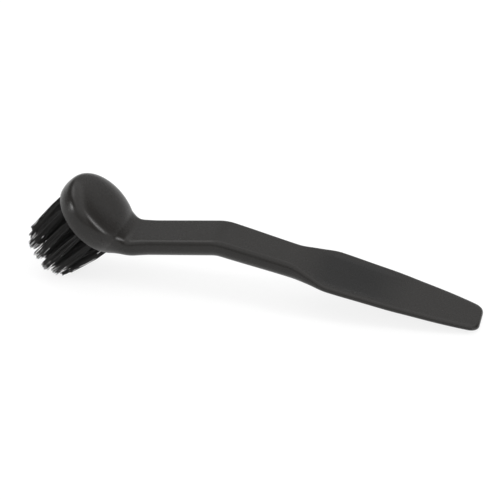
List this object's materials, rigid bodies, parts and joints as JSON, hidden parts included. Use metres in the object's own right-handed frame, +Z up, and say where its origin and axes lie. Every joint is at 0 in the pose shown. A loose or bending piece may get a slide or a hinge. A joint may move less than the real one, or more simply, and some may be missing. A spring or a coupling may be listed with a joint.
{
  "type": "coffee grinder brush",
  "caption": "Long-handled cleaning brush with a round tilted head of short stiff black bristles, for brushing out a coffee grinder.",
  "frame": {"origin": "On the table under the middle of the brush, with the brush lying back up on the ends of its rear bristles and the heel of its handle.", "axes": "+X from the bristles to the free end of the handle, +Z up, +Y to the left when looking from the bristles to the handle's end."},
  "size_m": [0.1684, 0.031, 0.039],
  "materials": {
    "handle_plastic": "satin, fine moulded grain",
    "bristle_nylon": "drawn nylon filament, slightly shiny",
    "anchor_brass": "rolled flat wire"
  },
  "bodies": {
    "root": {"handle": "handle_plastic", "tuft_outer_01": "bristle_nylon", "tuft_outer_02": "bristle_nylon", "tuft_outer_03": "bristle_nylon", "tuft_outer_04": "bristle_nylon", "tuft_outer_05": "bristle_nylon", "tuft_outer_06": "bristle_nylon", "tuft_outer_07": "bristle_nylon", "tuft_outer_08": "bristle_nylon", "tuft_outer_09": "bristle_nylon", "tuft_outer_10": "bristle_nylon", "tuft_outer_11": "bristle_nylon", "tuft_outer_12": "bristle_nylon", "tuft_outer_13": "bristle_nylon", "tuft_outer_14": "bristle_nylon", "tuft_middle_01": "bristle_nylon", "tuft_middle_02": "bristle_nylon", "tuft_middle_03": "bristle_nylon", "tuft_middle_04": "bristle_nylon", "tuft_middle_05": "bristle_nylon", "tuft_middle_06": "bristle_nylon", "tuft_middle_07": "bristle_nylon", "tuft_middle_08": "bristle_nylon", "tuft_middle_09": "bristle_nylon", "tuft_inner_01": "bristle_nylon", "tuft_inner_02": "bristle_nylon", "tuft_inner_03": "bristle_nylon", "anchor_outer_01": "anchor_brass", "anchor_outer_02": "anchor_brass", "anchor_outer_03": "anchor_brass", "anchor_outer_04": "anchor_brass", "anchor_outer_05": "anchor_brass", "anchor_outer_06": "anchor_brass", "anchor_outer_07": "anchor_brass", "anchor_outer_08": "anchor_brass", "anchor_outer_09": "anchor_brass", "anchor_outer_10": "anchor_brass", "anchor_outer_11": "anchor_brass", "anchor_outer_12": "anchor_brass", "anchor_outer_13": "anchor_brass", "anchor_outer_14": "anchor_brass", "anchor_middle_01": "anchor_brass", "anchor_middle_02": "anchor_brass", "anchor_middle_03": "anchor_brass", "anchor_middle_04": "anchor_brass", "anchor_middle_05": "anchor_brass", "anchor_middle_06": "anchor_brass", "anchor_middle_07": "anchor_brass", "anchor_middle_08": "anchor_brass", "anchor_middle_09": "anchor_brass", "anchor_inner_01": "anchor_brass", "anchor_inner_02": "anchor_brass", "anchor_inner_03": "anchor_brass"}
  },
  "joints": []
}
